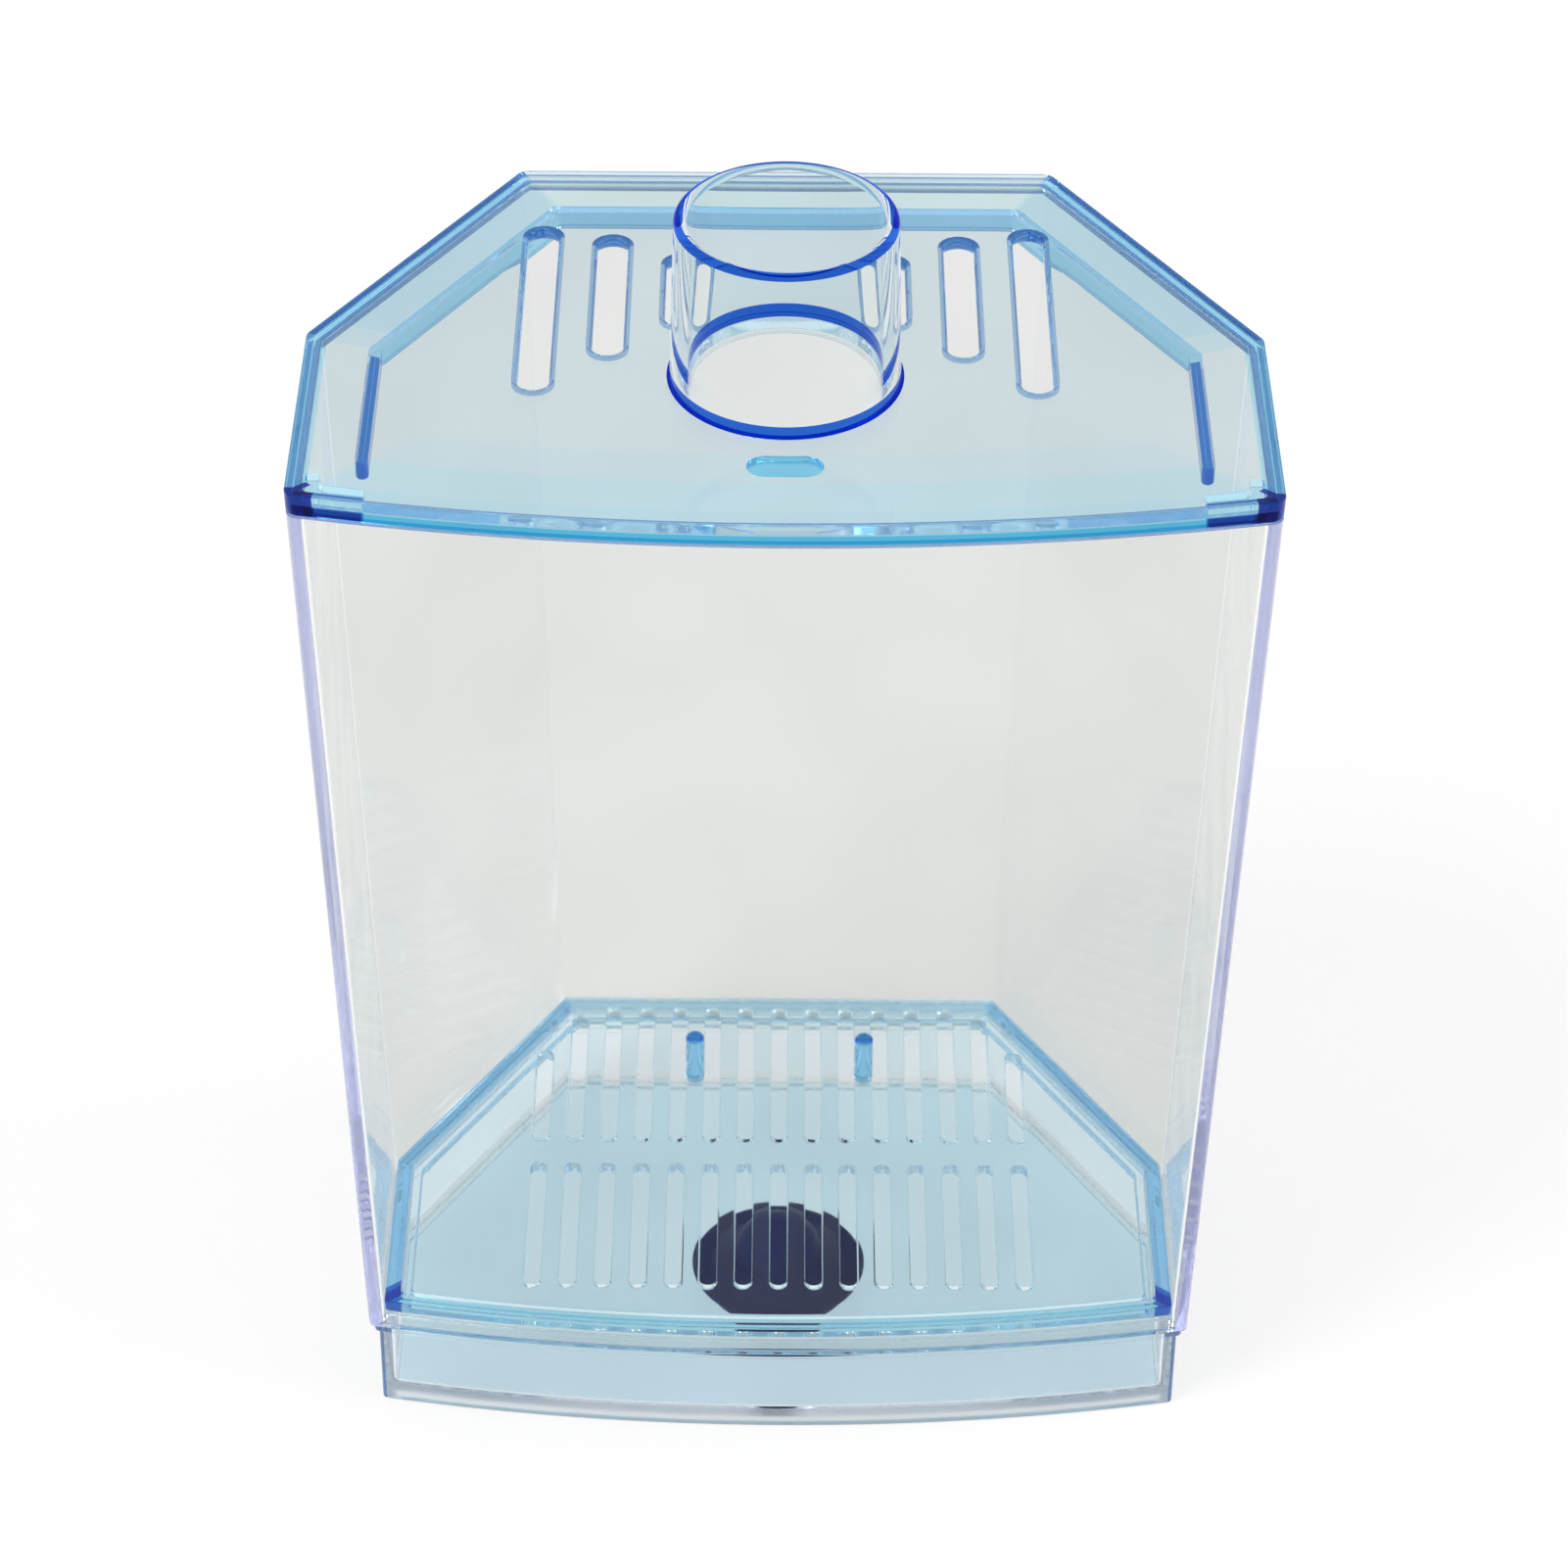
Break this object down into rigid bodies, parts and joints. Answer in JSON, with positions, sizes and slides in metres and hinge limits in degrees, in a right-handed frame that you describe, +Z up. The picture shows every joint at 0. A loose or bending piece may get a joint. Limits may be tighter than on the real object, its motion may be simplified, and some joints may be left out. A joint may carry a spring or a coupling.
{
  "type": "fish breeding box",
  "caption": "Small clear tank on a shallow base, with a slotted lift-out false bottom, a vented lift-off lid with a raised feeding collar, and a rubber drain plug.",
  "frame": {"origin": "middle of the footprint, on the table under the foot ring", "axes": "+Z up, -Y toward the bowed front wall, +X to the right when the front is faced"},
  "size_m": [0.15, 0.1028, 0.2213],
  "materials": {
    "clear_wall": "clear, polished",
    "base_plastic": "clear pale blue, polished",
    "seal_silicone": "milky, satin",
    "plate_plastic": "clear blue, polished",
    "peg_plastic": "clear blue, polished",
    "lid_plastic": "clear blue, polished",
    "collar_plastic": "clear blue, polished",
    "plug_rubber": "matt"
  },
  "bodies": {
    "tank": {"sump_base": "base_plastic", "tank_body": "clear_wall", "joint_seal": "seal_silicone"},
    "lid": {"lid": "lid_plastic", "feeding_collar": "collar_plastic"},
    "false_bottom": {"slotted_plate": "plate_plastic", "lift_peg_left": "peg_plastic", "lift_peg_right": "peg_plastic"},
    "plug": {"drain_plug": "plug_rubber", "plug_washer": "plug_rubber"}
  },
  "joints": [
    {"name": "lid_lift", "type": "slide", "parent": "tank", "child": "lid", "axis": [0, 0, 1], "range_m": [0, 0.06]},
    {"name": "plate_lift", "type": "slide", "parent": "tank", "child": "false_bottom", "axis": [0, 0, 1], "range_m": [0, 0.15]},
    {"name": "plug_lift", "type": "slide", "parent": "tank", "child": "plug", "axis": [0, 0, 1], "range_m": [0, 0.0028]}
  ]
}
